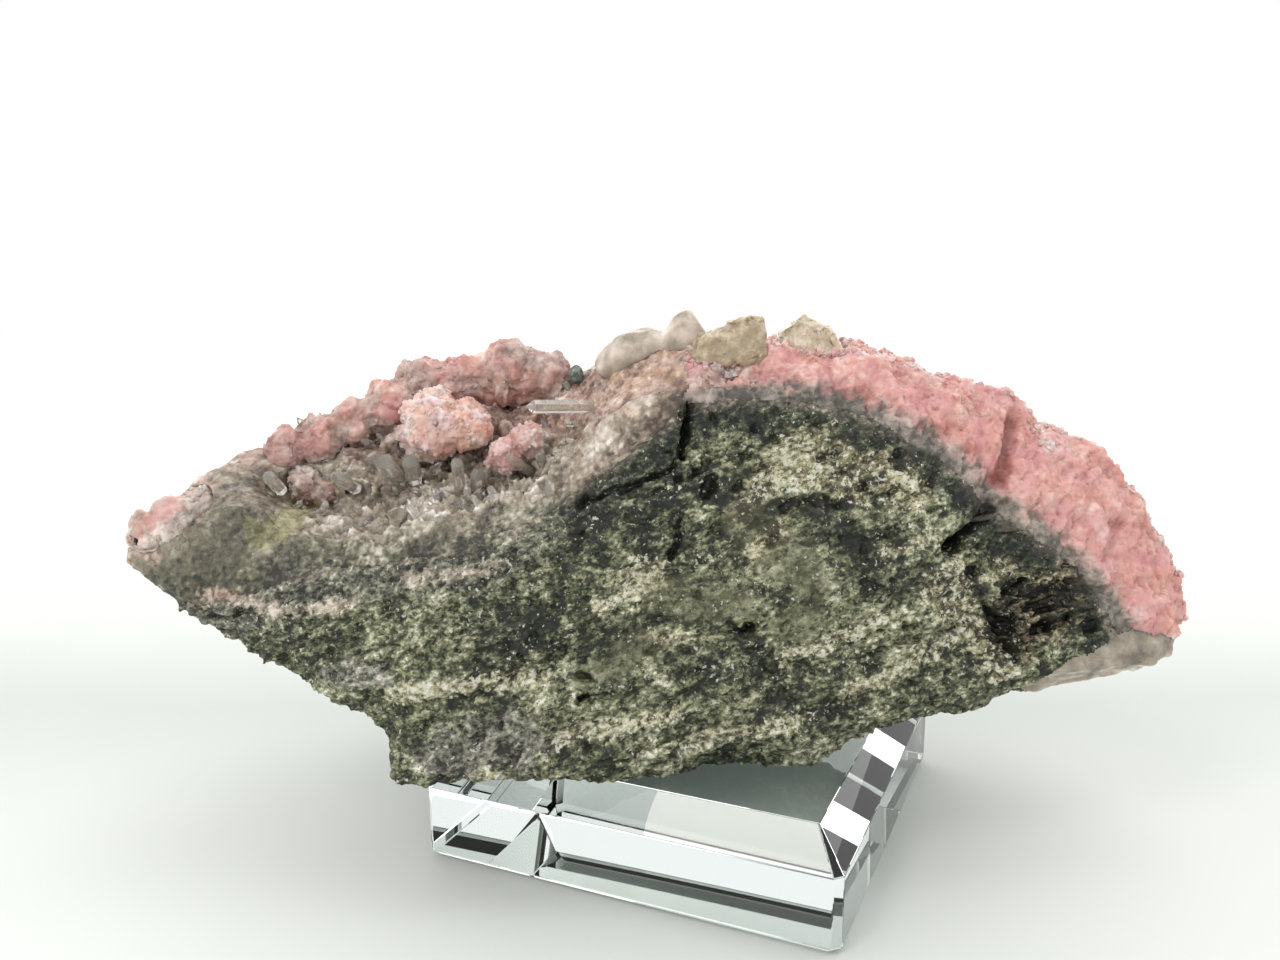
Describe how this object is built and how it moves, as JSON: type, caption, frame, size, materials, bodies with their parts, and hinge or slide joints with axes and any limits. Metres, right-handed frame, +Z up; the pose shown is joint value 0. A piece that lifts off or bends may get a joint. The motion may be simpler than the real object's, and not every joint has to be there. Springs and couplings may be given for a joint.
{
  "type": "rhodochrosite specimen",
  "caption": "Broken vein stone of dark host rock with a pink rhodochrosite crust and a grey quartz vug, lying on a bevelled clear glass display block.",
  "frame": {"origin": "centre of the glass block's underside, on the surface it stands on", "axes": "+Z up, +X along the stone's long axis towards its pink end, -Y out of the broken face that shows the host rock"},
  "size_m": [0.148, 0.0782, 0.076],
  "materials": {
    "crystal_glass": "polished clear glass, faintly green in its thick edges",
    "host_rock": "broken, granular, dark green-grey with cream and olive patches",
    "vein_quartz": "translucent grey quartz, glassy and sugary",
    "pale_quartz": "milky translucent quartz",
    "rhodochrosite": "sugary pink crystal crust, slightly translucent",
    "calcite": "pale yellowish crystals",
    "chlorite": "dark green, glassy",
    "clear_quartz": "clear rock crystal with sharp glassy faces"
  },
  "bodies": {
    "root": {"glass_block": "crystal_glass", "host_rock": "host_rock", "quartz_crust": "vein_quartz", "quartz_heel": "pale_quartz", "quartz_hump": "pale_quartz", "rhodochrosite_crust": "rhodochrosite", "rhodochrosite_ball": "rhodochrosite", "rhodochrosite_ridge": "rhodochrosite", "rhodochrosite_nub": "rhodochrosite", "rhodochrosite_patch": "rhodochrosite", "rhodochrosite_tip": "rhodochrosite", "calcite_knob": "calcite", "calcite_tooth": "calcite", "chlorite_bead": "chlorite", "quartz_point_1": "clear_quartz", "quartz_point_2": "clear_quartz", "quartz_point_3": "clear_quartz", "quartz_point_4": "clear_quartz", "quartz_point_5": "clear_quartz", "quartz_point_6": "clear_quartz", "quartz_point_7": "clear_quartz", "quartz_point_8": "clear_quartz", "quartz_point_9": "clear_quartz"}
  },
  "joints": []
}
